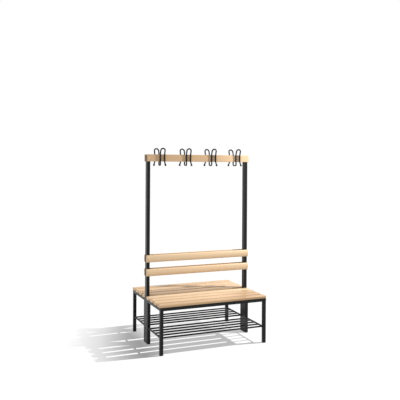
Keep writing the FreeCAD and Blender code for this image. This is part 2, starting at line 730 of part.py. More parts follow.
def hook_corners():
    """The wire's corners, from the front tip to the rear tip, about the hook's middle on the rail."""
    reach = value(LEG_REACH)
    half_width = value("arch_width") / 2
    tip_x = value("hook_shift") + half_width
    bow_x = value("hook_shift") - half_width
    base = -value("back_height")
    neck = (value("neck_rise"), value("neck_bend"))
    crown = (value("arch_rise"), half_width)
    flare = (base - value("flare_drop"), value("flare_bend"))
    lean = reach + value("arch_lean")

    def on_bow(y, drop, bend):
        return VECTOR(bow_x / reach * y, -y, base - drop), bend

    half = [
        (VECTOR(tip_x, -(reach + value("tip_reach")), base - value("tip_drop")), 0),
        (VECTOR(tip_x, -reach, flare[0]), flare[1]),
        (VECTOR(tip_x, -reach, neck[0]), neck[1]),
        (VECTOR(tip_x, -lean, crown[0]), crown[1]),
        (VECTOR(bow_x, -lean, crown[0]), crown[1]),
        (VECTOR(bow_x, -reach, neck[0]), neck[1]),
        (VECTOR(bow_x, -reach, flare[0]), flare[1]),
        on_bow(reach + value("bow_bulge"), value("bow_drop"), value("bow_bend")),
        on_bow(reach - value("bow_inset"), value("bow_floor"), value("floor_bend")),
    ]
    turned_half = [(VECTOR(-point.x, -point.y, point.z), bend) for point, bend in reversed(half)]
    return half + turned_half, (tip_x, bow_x, reach)


corners, (tip_x, bow_x, leg_y) = hook_corners()
path = rounded_path(corners)
tip, next_corner = corners[0][0], corners[1][0]
wire_radius = value("wire") / 2
wire_face = Part.Wire(Part.makeCircle(wire_radius, tip, next_corner - tip))
bent_wire = path.makePipeShell([wire_face], True, False)
stud_end = value("upright_depth") / 2 - value("nut_height") - value("stud_tail")
studs = []
for side in (-1, 1):
    for across in (tip_x, bow_x):
        foot = VECTOR(-side * across, side * leg_y, -value("back_height") / 2)
        studs.append(Part.makeCylinder(value("stud") / 2, leg_y - stud_end, foot, VECTOR(0, -side, 0)))
hook_shape = bent_wire.fuse(studs)

ball_shapes = []
hook_count = int(value("hooks"))
for index in range(hook_count):
    place_x = "%s * (%d / (hooks - 1) - 1 / 2)" % (HOOK_SPAN, index)
    hook = doc.addObject("Part::Feature", "hook_%d" % (index + 1))
    hook.Label = "hook_%d" % (index + 1)
    hook.Shape = hook_shape
    hook.Placement = FreeCAD.Placement()
    bind(hook, "Placement.Base.x", place_x)
    bind(hook, "Placement.Base.z", "rail_top")
    sub_parts.append(hook)
    for side in (1, -1):
        middle = VECTOR(side * tip.x, side * tip.y, tip.z)
        inward = VECTOR(side * (next_corner.x - tip.x), side * (next_corner.y - tip.y), next_corner.z - tip.z)
        ball = Part.makeSphere(value("tip_ball") / 2, middle)
        socket = Part.makeCylinder(wire_radius + value("tip_fit"), value("tip_ball"), middle, inward)
        capped = ball.cut(socket)
        capped.translate(VECTOR(value(place_x), 0, 0))
        ball_shapes.append(capped)
balls = doc.addObject("Part::Feature", "hook_ball_tips")
balls.Label = "hook_ball_tips"
balls.Shape = Part.makeCompound(ball_shapes)
balls.Placement = FreeCAD.Placement()
bind(balls, "Placement.Base.z", "rail_top")
sub_parts.append(balls)


# Checks and export

doc.recompute()
for thing in doc.Objects:
    assert "Invalid" not in thing.State and "Error" not in thing.State, (thing.Label, thing.State)
for thing in sub_parts:
    assert not thing.Shape.isNull() and thing.Shape.isValid(), thing.Label

os.makedirs("parts", exist_ok=True)
for thing in sub_parts:
    thing.Shape.exportStep("parts/%s.step" % thing.Label)
    print("%-26s %2d solids" % (thing.Label, len(thing.Shape.Solids)))
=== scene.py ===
"""Looks of the double-sided changing room bench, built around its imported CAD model.

Everything is in metres in the model's own frame: X along the bench, Y from the front seat to the
back seat, Z up, the origin on the floor.  The steel tubes, racks and hooks stay as the model has
them and get their finish here; slats, plugs, bolts, nuts and screws are made again with their
rounded edges, recesses and grain, and the welds are added.
"""
import json
import logging
import math
import random
from dataclasses import dataclass, field
from enum import Enum
from typing import Callable, Iterable, Sequence

import bpy
from mathutils import Matrix, Vector


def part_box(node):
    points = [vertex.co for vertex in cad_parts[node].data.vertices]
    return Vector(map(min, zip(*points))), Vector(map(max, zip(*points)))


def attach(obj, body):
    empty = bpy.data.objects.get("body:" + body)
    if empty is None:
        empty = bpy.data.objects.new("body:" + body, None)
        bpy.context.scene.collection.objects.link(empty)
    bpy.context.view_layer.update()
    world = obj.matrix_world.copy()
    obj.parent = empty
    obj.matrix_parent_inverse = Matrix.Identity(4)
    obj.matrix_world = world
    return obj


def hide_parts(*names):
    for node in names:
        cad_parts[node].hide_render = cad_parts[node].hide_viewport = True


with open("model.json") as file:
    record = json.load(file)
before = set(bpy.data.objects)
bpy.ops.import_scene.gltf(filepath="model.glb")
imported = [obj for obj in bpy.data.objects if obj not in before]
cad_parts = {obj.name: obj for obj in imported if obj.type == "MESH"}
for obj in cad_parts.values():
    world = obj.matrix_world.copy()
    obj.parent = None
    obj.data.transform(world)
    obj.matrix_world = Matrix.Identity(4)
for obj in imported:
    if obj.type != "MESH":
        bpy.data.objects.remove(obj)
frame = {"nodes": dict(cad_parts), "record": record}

logging.basicConfig(level=logging.INFO, format="%(name)s: %(message)s")
log = logging.getLogger("bench")

Material = bpy.types.Material
Socket = bpy.types.NodeSocket
Tree = bpy.types.NodeTree
Colour = tuple[float, float, float, float]
Stops = tuple[tuple[float, float | Colour], ...]
Outline = list[tuple[float, float]]

MM = 0.001
QUARTER_TURN = math.radians(90)
SHARP_ANGLE = math.radians(50)
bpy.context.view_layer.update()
BODY = "root"
GRAIN = "grain"
TONE = "tone"
SEAT_SLATS = (1, 2, 3, 4)


class Slot(Enum):
    """The record's material slots."""

    BEECH = "beech"
    FRAME_STEEL = "frame_steel"
    HOOK_STEEL = "hook_steel"
    ZINC_STEEL = "zinc_steel"
    BLACK_PLASTIC = "black_plastic"


class Part(Enum):
    """A half of the bench that the model's names tell apart."""

    @property
    def word(self) -> str:
        """The word for it in the model's names."""
        return self.name.lower()


class Side(Part):
    """The bench's sides, each with the direction along Y in which it faces."""

    FRONT = -1
    BACK = 1


class End(Part):
    """The bench's ends, each with the direction along X that points inwards."""

    LEFT = 1
    RIGHT = -1


class Axis(Enum):
    """The axis that a bolt, nut or screw lies along."""

    Y = "Y"
    Z = "Z"


def linear(hex_colour: str) -> Colour:
    """Turn an sRGB hex colour into a linear one.

    Args:
        hex_colour: Six hex digits after a hash.

    Returns:
        Linear red, green and blue, and full opacity.
    """
    channels = [int(hex_colour[i:i + 2], 16) / 255 for i in (1, 3, 5)]
    red, green, blue = (c / 12.92 if c <= 0.04045 else ((c + 0.055) / 1.055) ** 2.4 for c in channels)
    return red, green, blue, 1.0


def add_node(tree: Tree, kind: str, links: dict[str | int, object] | None = None,
             stops: Stops = (), **settings: object) -> bpy.types.Node:
    """Add a node with its settings, input values and links.

    Args:
        tree: The node tree that takes the node.
        kind: The node's type name.
        links: Input name or number, with a value or an output socket to link.
        stops: A colour ramp's places, each with a linear colour or a plain level.
        **settings: Attributes set on the node itself.

    Returns:
        The new node.
    """
    node = tree.nodes.new(kind)
    for name, setting in settings.items():
        setattr(node, name, setting)
    if stops:
        elements = node.color_ramp.elements
        while len(elements) < len(stops):
            elements.new(0.5)    # it gets its place below
        for element, (place, level) in zip(elements, stops):
            element.position = place
            element.color = level if isinstance(level, tuple) else (level, level, level, 1.0)
    for name, source in (links or {}).items():
        if isinstance(source, Socket):
            tree.links.new(source, node.inputs[name])
        else:
            node.inputs[name].default_value = source
    return node


def new_material(name: str) -> tuple[Material, Tree]:
    """Make a material with an empty node tree.

    Args:
        name: The finish's name.

    Returns:
        The material and its tree.
    """
    material = bpy.data.materials.new(name)
    material.use_nodes = True
    material.node_tree.nodes.clear()
    return material, material.node_tree


def whether_seen(tree: Tree) -> Socket:
    """Tell the rays that show a surround, straight, in gloss or through glass, from the rest.

    Args:
        tree: The node tree that takes the nodes.

    Returns:
        1 where the surround is seen, 0 where it only gives light.
    """
    path = add_node(tree, "ShaderNodeLightPath")
    seen = path.outputs["Is Camera Ray"]
    for kind in ("Is Glossy Ray", "Is Transmission Ray"):
        either = add_node(tree, "ShaderNodeMath", {0: seen, 1: path.outputs[kind]}, operation="MAXIMUM")
        seen = either.outputs[0]
    return seen


@dataclass(frozen=True)
class LacqueredBeech:
    """European beech, planed, its edges routed round, under a satin clear lacquer.

    The eye sees a warm pale wood with faint growth rings that run along the slat, short darker
    flecks from the wood's rays, and a soft sheen.  The flecks are drawn about twice as coarse as
    in the real wood, so that they show.
    """

    name: str = "lacquered_beech"
    pale: str = "#FAD6A9"
    ring: str = "#DCB389"
    warm: str = "#C6A075"
    fleck: str = "#B08258"
    tone_share: float = 0.8
    band_share: float = 0.22
    ring_share: float = 0.3
    fleck_share: float = 0.5
    ring_width_mm: float = 3.2
    ring_stops: Stops = ((0.0, 0.15), (0.55, 0.05), (0.86, 1.0), (1.0, 0.15))
    band_width_mm: float = 26.0
    band_stops: Stops = ((0.3, 0.0), (0.7, 1.0))
    fleck_width_mm: float = 0.9
    fleck_stops: Stops = ((0.64, 0.0), (0.74, 1.0))
    stretch: float = 22.0
    fleck_stretch: float = 5.0
    wander_mm: float = 2.5
    pore_width_mm: float = 0.35
    pore_depth_mm: float = 0.05
    pore_strength: float = 0.35
    roughness: tuple[float, float] = (0.38, 0.46)
    ior: float = 1.4
    lacquer: float = 0.3
    lacquer_roughness: float = 0.3

    def build(self) -> Material:
        """Make the wood from the grain coordinates that each slat carries.

        Returns:
            The material.
        """
        material, tree = new_material(self.name)
        grain = add_node(tree, "ShaderNodeAttribute", attribute_name=GRAIN).outputs["Vector"]
        streaks = {}
        for name, width_mm, stretch, detail in (
                ("wander", self.band_width_mm, self.stretch / 2, 2.0),
                ("band", self.band_width_mm, self.stretch, 4.0),
                ("fleck", self.fleck_width_mm, self.fleck_stretch, 1.0),
                ("pore", self.pore_width_mm, self.stretch, 2.0)):
            place = add_node(tree, "ShaderNodeMapping", {"Vector": grain, "Scale": (1 / stretch, 1.0, 1.0)})
            streaks[name] = add_node(tree, "ShaderNodeTexNoise", {
                "Vector": place.outputs[0], "Scale": 1 / (width_mm * MM), "Detail": detail})

        # Growth rings are shells about the pith, and the wander bends them.
        centred = add_node(tree, "ShaderNodeVectorMath", {
            0: streaks["wander"].outputs["Color"], 1: (0.5, 0.5, 0.5)}, operation="SUBTRACT")
        shift = add_node(tree, "ShaderNodeVectorMath", {
            0: centred.outputs[0], "Scale": 2 * self.wander_mm * MM}, operation="SCALE")
        bent = add_node(tree, "ShaderNodeVectorMath", {0: grain, 1: shift.outputs[0]}, operation="ADD")
        across = add_node(tree, "ShaderNodeVectorMath", {
            0: bent.outputs[0], 1: (0.0, 1.0, 1.0)}, operation="MULTIPLY")
        radius = add_node(tree, "ShaderNodeVectorMath", {0: across.outputs[0]}, operation="LENGTH")
        turns = add_node(tree, "ShaderNodeMath", {
            0: radius.outputs["Value"], 1: self.ring_width_mm * MM}, operation="DIVIDE")
        saw = add_node(tree, "ShaderNodeMath", {0: turns.outputs[0]}, operation="FRACT")

        ring, band, fleck = (
            add_node(tree, "ShaderNodeValToRGB", {"Fac": factor}, stops).outputs["Color"]
            for factor, stops in ((saw.outputs[0], self.ring_stops),
                                  (streaks["band"].outputs["Fac"], self.band_stops),
                                  (streaks["fleck"].outputs["Fac"], self.fleck_stops)))
        # The tone attribute also brings the slats' painted end shading: painted shade and painted light
        # towards the right end.
        tone = add_node(tree, "ShaderNodeAttribute", attribute_name=TONE).outputs["Fac"]
        colour = linear(self.pale)
        for layer, share, darker in (
                (tone, self.tone_share, self.warm), (band, self.band_share, self.warm),
                (ring, self.ring_share, self.ring), (fleck, self.fleck_share, self.fleck)):
            amount = add_node(tree, "ShaderNodeMath", {0: layer, 1: share}, operation="MULTIPLY")
            mix = add_node(tree, "ShaderNodeMix", {0: amount.outputs[0], 6: colour, 7: linear(darker)},
                           data_type="RGBA")
            colour = mix.outputs[2]

        roughness = add_node(tree, "ShaderNodeMapRange", {
            "Value": band, "To Min": self.roughness[0], "To Max": self.roughness[1]})
        height = add_node(tree, "ShaderNodeMath", {0: streaks["pore"].outputs["Fac"], 1: fleck},
                          operation="SUBTRACT")
        bump = add_node(tree, "ShaderNodeBump", {
            "Height": height.outputs[0], "Distance": self.pore_depth_mm * MM, "Strength": self.pore_strength})
        shader = add_node(tree, "ShaderNodeBsdfPrincipled", {
            "Base Color": colour, "Roughness": roughness.outputs[0], "Normal": bump.outputs[0],
            "IOR": self.ior, "Coat Weight": self.lacquer, "Coat Roughness": self.lacquer_roughness})
        add_node(tree, "ShaderNodeOutputMaterial", {"Surface": shader.outputs[0]})
        return material


@dataclass(frozen=True)
class PowderCoatedSteel:
    """Mild steel tube, powder coated near black, with the fine orange peel of a baked coat.

    The eye sees a dark neutral surface whose highlights are broad and slightly broken up, with a
    faint bloom at a flat angle.  The peel is drawn coarser than the real half millimetre, so that
    it shows.
    """

    name: str = "powder_coated_steel"
    colour: str = "#0A0B0C"
    scuffed: str = "#111213"
    peel_mm: float = 1.6
    peel_depth_mm: float = 0.035
    peel_strength: float = 0.15
    cloud_mm: float = 90.0
    cloud_span: tuple[float, float] = (0.35, 0.75)
    cloud_roughness: float = 0.6
    roughness: tuple[float, float] = (0.36, 0.48)
    ior: float = 1.3
    bloom: float = 0.5
    bloom_roughness: float = 0.3

    def build(self) -> Material:
        """Make the coat from the bench's own coordinates.

        Returns:
            The material.
        """
        material, tree = new_material(self.name)
        place = add_node(tree, "ShaderNodeTexCoord").outputs["Object"]
        cloud = add_node(tree, "ShaderNodeTexNoise", {
            "Vector": place, "Scale": 1 / (self.cloud_mm * MM), "Detail": 5.0,
            "Roughness": self.cloud_roughness})
        tone = add_node(tree, "ShaderNodeValToRGB", {"Fac": cloud.outputs["Fac"]},
                        tuple(zip(self.cloud_span, (linear(self.colour), linear(self.scuffed)))))
        peel = add_node(tree, "ShaderNodeTexNoise", {
            "Vector": place, "Scale": 1 / (self.peel_mm * MM), "Detail": 2.0})
        bump = add_node(tree, "ShaderNodeBump", {
            "Height": peel.outputs["Fac"], "Distance": self.peel_depth_mm * MM,
            "Strength": self.peel_strength})
        roughness = add_node(tree, "ShaderNodeMapRange", {
            "Value": cloud.outputs["Fac"], "To Min": self.roughness[0], "To Max": self.roughness[1]})
        shader = add_node(tree, "ShaderNodeBsdfPrincipled", {
            "Base Color": tone.outputs["Color"], "Roughness": roughness.outputs[0], "Normal": bump.outputs[0],
            "IOR": self.ior, "Sheen Weight": self.bloom, "Sheen Roughness": self.bloom_roughness})
        add_node(tree, "ShaderNodeOutputMaterial", {"Surface": shader.outputs[0]})
        return material


@dataclass(frozen=True)
class MottledFinish:
    """A finish whose one fine pattern shades it from dark to light and lifts its surface."""

    name: str
    dark: str
    light: str
    pattern_mm: float
    detail: float
    span: tuple[float, float]
    depth_mm: float
    strength: float
    roughness: float
    metallic: float

    def build(self) -> Material:
        """Make the finish from the bench's own coordinates.

        Returns:
            The material.
        """
        material, tree = new_material(self.name)
        place = add_node(tree, "ShaderNodeTexCoord").outputs["Object"]
        pattern = add_node(tree, "ShaderNodeTexNoise", {
            "Vector": place, "Scale": 1 / (self.pattern_mm * MM), "Detail": self.detail})
        tone = add_node(tree, "ShaderNodeValToRGB", {"Fac": pattern.outputs["Fac"]},
                        tuple(zip(self.span, (linear(self.dark), linear(self.light)))))
        bump = add_node(tree, "ShaderNodeBump", {
            "Height": pattern.outputs["Fac"], "Distance": self.depth_mm * MM, "Strength": self.strength})
        shader = add_node(tree, "ShaderNodeBsdfPrincipled", {
            "Base Color": tone.outputs["Color"], "Metallic": self.metallic, "Roughness": self.roughness,
            "Normal": bump.outputs[0]})
        add_node(tree, "ShaderNodeOutputMaterial", {"Surface": shader.outputs[0]})
        return material


@dataclass(frozen=True)
class ZincPlate(MottledFinish):
    """Steel fasteners with bright zinc plating, tumbled in bulk.

    The eye sees a cool light grey metal, slightly mottled where pieces rubbed on each other.
    """

    name: str = "zinc_plated_steel"
    dark: str = "#8E9296"
    light: str = "#B9BCBF"
    pattern_mm: float = 3.0
    detail: float = 3.0
    span: tuple[float, float] = (0.35, 0.65)
    depth_mm: float = 0.02
    strength: float = 0.3
    roughness: float = 0.35
    metallic: float = 1.0


@dataclass(frozen=True)
class MouldedPolyethylene(MottledFinish):
    """Black polyethylene, injection moulded in an eroded mould.

    The eye sees a soft black that stays matt, with a fine grit.  The grit is drawn coarser than
    the mould's tenth of a millimetre, so that it shows.
    """

    name: str = "moulded_polyethylene"
    dark: str = "#1C1C1D"
    light: str = "#2A2A2B"
    pattern_mm: float = 0.8
    detail: float = 2.0
    span: tuple[float, float] = (0.4, 0.7)
    depth_mm: float = 0.04
    strength: float = 0.4
    roughness: float = 0.6
    metallic: float = 0.0


@dataclass
class Finishes:
    """The bench's materials, one per slot of the record, and a whiter copy of the beech, with painted
    highlight, for the upright slats.
    """

    by_slot: dict[Slot, Material] = field(default_factory=dict)
    upright_beech: Material | None = None

    def build(self) -> None:
        """Make every material once.  The hooks' wire has a thinner, smoother coat from a dip."""
        self.by_slot = {
            Slot.BEECH: LacqueredBeech().build(),
            Slot.FRAME_STEEL: PowderCoatedSteel().build(),
            Slot.HOOK_STEEL: PowderCoatedSteel(
                name="dip_coated_wire", colour="#0A0B0D", scuffed="#101114", peel_mm=2.5,
                peel_depth_mm=0.03, roughness=(0.34, 0.46), ior=1.2, bloom=0.0).build(),
            Slot.ZINC_STEEL: ZincPlate().build(),
            Slot.BLACK_PLASTIC: MouldedPolyethylene().build(),
        }
        # Painted highlight: the upright slats and plugs get a whiter, less yellow copy of the beech, standing
        # in for the sheen on their faces.
        self.upright_beech = LacqueredBeech(
            name="lacquered_pale_beech", pale="#FADDB6", warm="#C8A77F").build()


@dataclass
class Draft:
    """A mesh in the making: points, faces and the grain coordinate of each point."""

    points: list[Vector] = field(default_factory=list)
    faces: list[tuple[int, ...]] = field(default_factory=list)
    grain: list[Vector] = field(default_factory=list)
    tone_of: Callable[[Vector], float] | None = None

    def loft(self, rings: Sequence[Sequence[Vector]], grain_of: Callable[[Vector], Vector] | None = None,
             closed: bool = False) -> None:
        """Skin rings of equally many points, with a face over each end unless the loft is closed.

        Args:
            rings: Rings of points, in order.
            grain_of: Gives a point's grain coordinate; left out where there is no grain.
            closed: Whether the last ring joins the first.
        """
        first = len(self.points)
        count = len(rings[0])
        for ring in rings:
            self.points += ring
            self.grain += [grain_of(point) if grain_of else Vector() for point in ring]
        last = len(rings) if closed else len(rings) - 1
        for level in range(last):
            low = first + level * count
            high = first + (level + 1) % len(rings) * count
            for step in range(count):
                after = (step + 1) % count
                self.faces.append((low + step, low + after, high + after, high + step))
        if not closed:
            end = first + (len(rings) - 1) * count
            self.faces.append(tuple(range(first + count - 1, first - 1, -1)))
            self.faces.append(tuple(range(end, end + count)))

    def piece(self, name: str, material: Material, slot: Slot,
              stands_for: Iterable[str] = ()) -> bpy.types.Object:
        """Turn the draft into an object that rides on the bench.

        Args:
            name: The piece's name.
            material: Its finish.
            slot: The record's slot that the finish belongs to; not used.
            stands_for: Nodes of the model that it replaces.

        Returns:
            The object.
        """
        mesh = bpy.data.meshes.new(name)
        mesh.from_pydata([tuple(point) for point in self.points], [], self.faces)
        mesh.validate()
        if any(point.length for point in self.grain):
            attribute = mesh.attributes.new(GRAIN, "FLOAT_VECTOR", "POINT")
            for index, value in enumerate(self.grain):
                attribute.data[index].vector = value
        if self.tone_of:
            attribute = mesh.attributes.new(TONE, "FLOAT", "POINT")
            for value, point in zip(attribute.data, self.points):
                value.value = self.tone_of(point)
        mesh.materials.append(material)
        mesh.shade_smooth()
        mesh.set_sharp_from_angle(angle=SHARP_ANGLE)
        piece = bpy.data.objects.new(name, mesh)
        bpy.context.scene.collection.objects.link(piece)
        weighted = piece.modifiers.new("even shading", "WEIGHTED_NORMAL")
        weighted.keep_sharp = True
        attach(piece, BODY)
        if stands_for:
            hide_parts(*stands_for)
        log.info("%s: %d points", name, len(self.points))
        return piece


def rounded_outline(width: float, height: float, radius: float, steps: int = 5,
                    end_steps: int = 10, side_steps: int = 12) -> Outline:
    """A rectangle with rounded corners about the origin, anticlockwise.

    Args:
        width: Its full width.
        height: Its full height.
        radius: Its corner radius.
        steps: Segments in each corner.
        end_steps: Segments along each of its two upright sides.
        side_steps: Segments along each of its two level sides.

    Returns:
        Its points.
    """
    outline = []
    for quarter, (side_x, side_y) in enumerate(((1, 1), (-1, 1), (-1, -1), (1, -1))):
        for step in range(steps + 1):
            angle = QUARTER_TURN * (quarter + step / steps)
            outline.append((side_x * (width / 2 - radius) + radius * math.cos(angle),
                            side_y * (height / 2 - radius) + radius * math.sin(angle)))
        if quarter % 2:
            x = side_x * width / 2
            start = side_y * (height / 2 - radius)
            outline += [(x, start * (1 - 2 * step / end_steps)) for step in range(1, end_steps)]
        else:
            y = side_y * height / 2
            start = side_x * (width / 2 - radius)
            outline += [(start * (1 - 2 * step / side_steps), y) for step in range(1, side_steps)]
    return outline


def polar_outline(reach_at: Callable[[float], float], count: int = 24) -> Outline:
    """Points about the origin, spread evenly over their angle, anticlockwise.

    Args:
        reach_at: Gives the distance from the origin at an angle.
        count: Number of points.

    Returns:
        The points.
    """
    angles = [math.tau * step / count for step in range(count)]
    return [(reach_at(angle) * math.cos(angle), reach_at(angle) * math.sin(angle)) for angle in angles]


def circle_outline(radius: float, count: int = 24) -> Outline:
    """A circle of so many points."""
    return polar_outline(lambda angle: radius, count)


def hexagon_outline(across_flats: float) -> Outline:
    """A hexagon of that width between two flats."""
    sector = math.tau / 6
    return polar_outline(lambda angle: across_flats / 2 / math.cos((angle % sector) - sector / 2))


def points_along(corners: Sequence[Vector], step: float) -> list[Vector]:
    """Points spread evenly along straight runs.

    Args:
        corners: The corners of the runs.
        step: The largest distance between two points.

    Returns:
        The points, corners included.
    """
    points = [corners[0]]
    for start, end in zip(corners, corners[1:]):
        pieces = max(1, math.ceil((end - start).length / step))
        points += [start.lerp(end, part / pieces) for part in range(1, pieces + 1)]
    return points


def rings_along(axis: Axis, towards: int, origin: Vector,
                levels: Sequence[tuple[float, Outline]]) -> list[list[Vector]]:
    """Put outlines on an axis, each at its distance.

    Args:
        axis: The axis.
        towards: 1 or -1, the way in which the distances run.
        origin: Where they start.
        levels: Distances and outlines.

    Returns:
        Rings whose lofts face outwards.
    """
    rings = []
    for distance, outline in levels:
        if axis is Axis.Y:
            ring = [origin + Vector((-towards * a, towards * distance, b)) for a, b in outline]
        else:
            ring = [origin + Vector((towards * a, b, towards * distance)) for a, b in outline]
        rings.append(ring)
    return rings


@dataclass
class Slat:
    """One beech slat, rounded round its face, with its grain running along it.

    Its own frame has the length along X, the width along Y and the face at the top of Z.  The
    seed settles where in the trunk it was cut, the tone how dark its wood is as a whole, and the
    painted end shading how much painted shade darkens it towards the bench's right end, where the
    key lamp is stronger; with a minus it is painted light that makes that end lighter.
    """

    name: str
    length: float
    width: float
    thick: float
    face_round: float
    corner_round: float
    crown: float
    place: Matrix
    seed: int
    tone: float
    # Painted shade, or painted light below zero, along the slat towards the bench's right end, over this run
    # of X in metres.
    end_tone: float = 0.0
    painted_shading_run: tuple[float, float] = (0.05, 0.45)
    back_ease: float = 0.8 * MM
    ridge: float = 0.5 * MM
    least_corner: float = 0.4 * MM
    steps: int = 8
    pith_depth_mm: tuple[float, float] = (55.0, 160.0)
    pith_swing: float = 0.9
    trunk_length: float = 40.0
    steepest_grain: float = 0.012

    def __post_init__(self) -> None:
        """Settle where in the trunk the slat was cut."""
        draw = random.Random(self.seed)
        depth = draw.uniform(*self.pith_depth_mm) * MM
        swing = draw.uniform(-self.pith_swing, self.pith_swing)
        self.pith: Vector = Vector((draw.uniform(0, self.trunk_length), depth * math.sin(swing),
                                    -depth * math.cos(swing)))
        self.slope: float = draw.uniform(-self.steepest_grain, self.steepest_grain)

    def grain_at(self, point: Vector) -> Vector:
        """Where a point of the slat lay in the trunk.

        Args:
            point: A point in the slat's own frame.

        Returns:
            Its place along and about the trunk's pith.
        """
        return point - self.pith + Vector((0, point.x * self.slope, 0))

    def tone_at(self, point: Vector) -> float:
        """How dark the wood is at a point of the bench, with the painted end shading added.

        Args:
            point: The point.

        Returns:
            The tone, with painted shade or painted light towards the right end.
        """
        # Painted shade or light: a smooth step over the run adds the painted end shading.
        start, end = self.painted_shading_run
        share = min(max((point.x - start) / (end - start), 0.0), 1.0)
        return self.tone + self.end_tone * share * share * (3 - 2 * share)

    def rings(self) -> list[list[Vector]]:
        """Rings from the slat's back to its face, in its own frame.

        Returns:
            The rings.
        """
        levels = [(self.back_ease, 0.0, 0.0), (0.0, self.back_ease, 0.0)]
        for step in range(self.steps + 1):
            angle = QUARTER_TURN * step / self.steps
            levels.append((self.face_round * (1 - math.cos(angle)),
                           self.thick - self.face_round * (1 - math.sin(angle)), self.crown))
        middle = self.width / 2 - self.ridge
        for step in range(1, self.steps + 1):
            inset = self.face_round + (middle - self.face_round) * step / self.steps
            levels.append((inset, self.thick, self.crown))
        rings = []
        for inset, height, crown in levels:
            corner = max(self.corner_round - inset, self.least_corner)
            outline = rounded_outline(self.length - 2 * inset, self.width - 2 * inset, corner)
            rings.append([Vector((x, y, height - crown * (2 * y / self.width) ** 2)) for x, y in outline])
        return rings

    def build(self, material: Material) -> bpy.types.Object:
        """Make the slat, which replaces the model's node of its name.

        Args:
            material: The wood.

        Returns:
            The object.
        """
        draft = Draft(tone_of=self.tone_at)
        draft.loft(self.rings(), self.grain_at)
        draft.points = [self.place @ point for point in draft.points]
        return draft.piece(self.name + "_board", material, Slot.BEECH, [self.name])


@dataclass(frozen=True)
class UprightKind:
    """What sets a backrest or hook rail slat apart from the others."""

    word: str
    face_round: float
    crown: float
    tone: float
    end_tone: float
    seed: int


@dataclass
class SlatWork:
    """All seat slats, backrests and hook rail slats, with the plugs over their connectors."""

    seat_round: float = 8 * MM
    seat_corner: float = 10 * MM
    seat_tones: tuple[tuple[float, ...], ...] = ((0.0, 0.18, 0.25, 0.9), (0.42, 0.21, 0.1, 0.35))
    # Painted shade: the front seat's slats 2 to 4 darken towards the right end, against the key lamp's
    # stronger light there.
    seat_painted_end_shading: tuple[tuple[float, ...], ...] = ((0.0, 0.85, 1.0, 0.9), (0.0, 0.0, 0.0, 0.0))
    seat_seeds: tuple[int, int] = (11, 18)
    outline_corner: float = 1.2 * MM
    upright_kinds: tuple[UprightKind, ...] = (
        UprightKind("lower_backrest", 8 * MM, 6.5 * MM, tone=0.2, end_tone=0.0, seed=41),
        UprightKind("upper_backrest", 8 * MM, 6.5 * MM, tone=0.25, end_tone=0.0, seed=46),
        # The hook rail's end shading below zero is painted light: the rail turns lighter towards its right
        # end, nearer the key lamp.
        UprightKind("hook_rail", 3 * MM, 0.0, tone=1.25, end_tone=-0.6, seed=51))
    plug_radius: float = 7 * MM
    plug_height: float = 6 * MM
    plug_proud: float = 0.06 * MM
    plug_chamfer: float = 0.4 * MM
    plug_sides: int = 32
    plug_tone: float = 0.6
    plug_turn: float = 0.5
    plug_stock: tuple[float, float] = (1.0, 30.0)
    plug_seed: int = 5

    def seat_slats(self, wood: Material) -> None:
        """Make the eight seat slats where the model has them.

        Args:
            wood: Their finish.
        """
        for side, tones, painted_end_shadings, seed in zip(Side, self.seat_tones, self.seat_painted_end_shading, self.seat_seeds):
            for number, tone, end_tone in zip(SEAT_SLATS, tones, painted_end_shadings):
                name = "%s_seat_slat_%d" % (side.word, number)
                low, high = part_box(name)
                size = high - low
                middle = (low + high) / 2
                Slat(name=name, length=size.x, width=size.y, thick=size.z, face_round=self.seat_round,
                     corner_round=self.seat_corner, crown=0.0,
                     place=Matrix.Translation((middle.x, middle.y, low.z)),
                     seed=seed + number, tone=tone, end_tone=end_tone).build(wood)

    def upright_slats(self, wood: Material) -> None:
        """Make the backrests and the hook rail slats, face outwards.

        Args:
            wood: Their finish.
        """
        for side in Side:
            turn = Matrix.Rotation(QUARTER_TURN, 4, "X")
            if side is Side.BACK:
                turn = Matrix.Rotation(2 * QUARTER_TURN, 4, "Z") @ turn
            for kind in self.upright_kinds:
                name = "%s_%s" % (kind.word, side.word)
                low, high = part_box(name)
                size = high - low
                middle = (low + high) / 2
                inner_y = high.y if side is Side.FRONT else low.y
                Slat(name=name, length=size.x, width=size.z, thick=size.y, face_round=kind.face_round,
                     corner_round=self.outline_corner, crown=kind.crown,
                     place=Matrix.Translation((middle.x, inner_y, middle.z)) @ turn,
                     seed=kind.seed + side.value, tone=kind.tone, end_tone=kind.end_tone).build(wood)

    def plugs(self, wood: Material) -> None:
        """Make the beech plugs, which the model keeps in one node.

        Args:
            wood: Their finish.
        """
        draft = Draft(tone_of=lambda point: self.plug_tone)
        low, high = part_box("slat_plugs")
        draw = random.Random(self.plug_seed)
        profile = ((self.plug_height, self.plug_radius), (self.plug_chamfer, self.plug_radius),
                   (0.0, self.plug_radius - self.plug_chamfer))
        for x in (low.x + self.plug_radius, high.x - self.plug_radius):
            for side in Side:
                for kind in self.upright_kinds:
                    slat_low, slat_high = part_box("%s_%s" % (kind.word, Side.FRONT.word))
                    z = (slat_low.z + slat_high.z) / 2
                    face_y = (high.y if side is Side.BACK else low.y) + side.value * self.plug_proud
                    spin = Matrix.Rotation(draw.uniform(-self.plug_turn, self.plug_turn), 3, "Y")
                    shift = Vector([draw.uniform(*self.plug_stock) for axis in range(3)])
                    rings = []
                    for depth, radius in profile:
                        y = face_y - side.value * depth
                        rings.append([Vector((x - side.value * a, y, z + b))
                                      for a, b in circle_outline(radius, self.plug_sides)])
                    draft.loft(rings, lambda point: spin @ point + shift)
        draft.piece("beech_plugs", wood, Slot.BEECH, ["slat_plugs"])

    def build(self, finishes: Finishes) -> None:
        """Make all the woodwork.

        Args:
            finishes: The bench's materials.
        """
        self.seat_slats(finishes.by_slot[Slot.BEECH])
        self.upright_slats(finishes.upright_beech)
        self.plugs(finishes.upright_beech)


